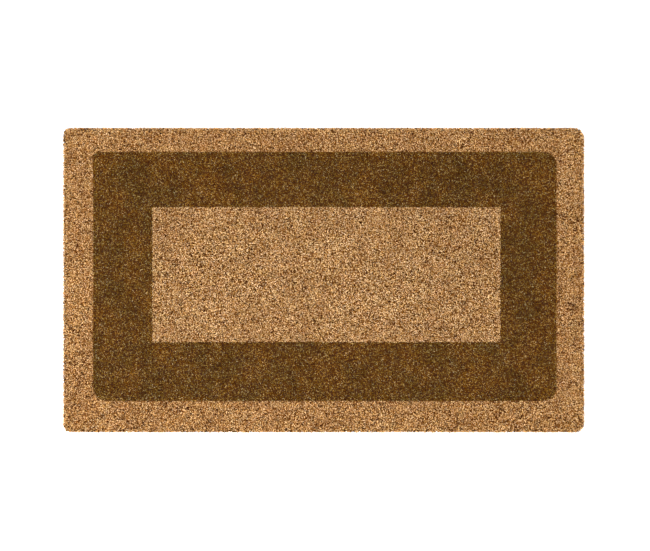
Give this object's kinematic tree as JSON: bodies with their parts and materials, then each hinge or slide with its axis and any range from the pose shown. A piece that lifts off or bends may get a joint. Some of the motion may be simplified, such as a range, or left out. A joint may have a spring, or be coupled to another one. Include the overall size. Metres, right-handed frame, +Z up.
{
  "type": "door mat",
  "caption": "Rectangular coir door mat with a flexible vinyl backing, a natural coir border and centre, and a dark brown dyed band between them.",
  "frame": {"origin": "centre of the mat's underside, on the floor", "axes": "+X along the mat's long side, +Y across it to its back edge, nearest the door, +Z up out of the pile"},
  "size_m": [0.762, 0.4444, 0.015],
  "materials": {
    "natural_coir": "dry bristly cut coir pile in its natural golden brown",
    "dark_coir": "dry bristly cut coir pile dyed dark brown",
    "vinyl_backing": "matt black flexible vinyl, cut edge, textured underside"
  },
  "bodies": {
    "root": {"backing_sheet": "vinyl_backing", "border_pile": "natural_coir", "band_pile": "dark_coir", "centre_pile": "natural_coir"}
  },
  "joints": []
}
